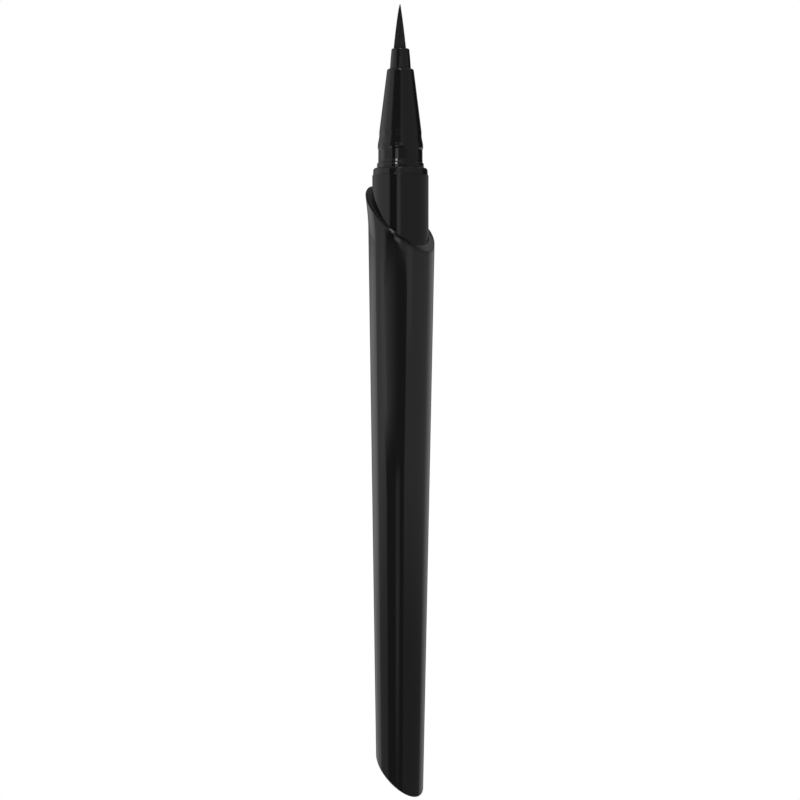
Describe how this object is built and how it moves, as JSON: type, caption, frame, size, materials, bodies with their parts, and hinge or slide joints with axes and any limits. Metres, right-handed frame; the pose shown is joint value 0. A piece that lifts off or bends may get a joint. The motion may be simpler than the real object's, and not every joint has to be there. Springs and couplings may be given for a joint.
{
  "type": "liquid eyeliner pen",
  "caption": "Brush-tipped liquid eyeliner pen, uncapped: stepped front section over an inner ink barrel, set in a tapering outer barrel with a slanted mouth and tail.",
  "frame": {"origin": "where the slanted mouth of the outer barrel crosses the pen's axis, in the grip", "axes": "+Z along the pen towards the brush's point; +X towards the low lip of the slanted mouth; the tongue of the mouth stands at -X"},
  "size_m": [0.0118, 0.0114, 0.1334],
  "materials": {
    "barrel_gloss": "high-gloss black moulded plastic",
    "body_gloss": "gloss black moulded plastic",
    "holder_plastic": "gloss black, a little softer than the barrel",
    "bristle": "fine black filaments, wetted with liner",
    "inner_plastic": "natural grey inner moulding",
    "fibre": "bonded polyester fibre rod",
    "seal_rubber": "soft black seal rubber",
    "ball_steel": "polished stainless steel"
  },
  "bodies": {
    "pen": {"brush_tip": "bristle", "tip_holder": "holder_plastic", "front_section": "body_gloss", "front_seal": "seal_rubber", "relay_core": "fibre", "collector": "inner_plastic", "core_tube": "inner_plastic", "tank_seal": "seal_rubber", "inner_barrel": "body_gloss", "tail_plug": "inner_plastic", "outer_barrel": "barrel_gloss"},
    "ball": {"mixing_ball": "ball_steel"}
  },
  "joints": [
    {"name": "mixing_ball_slide", "type": "slide", "parent": "pen", "child": "ball", "axis": [0, 0, 1], "range_m": [0, 0.0286]}
  ]
}
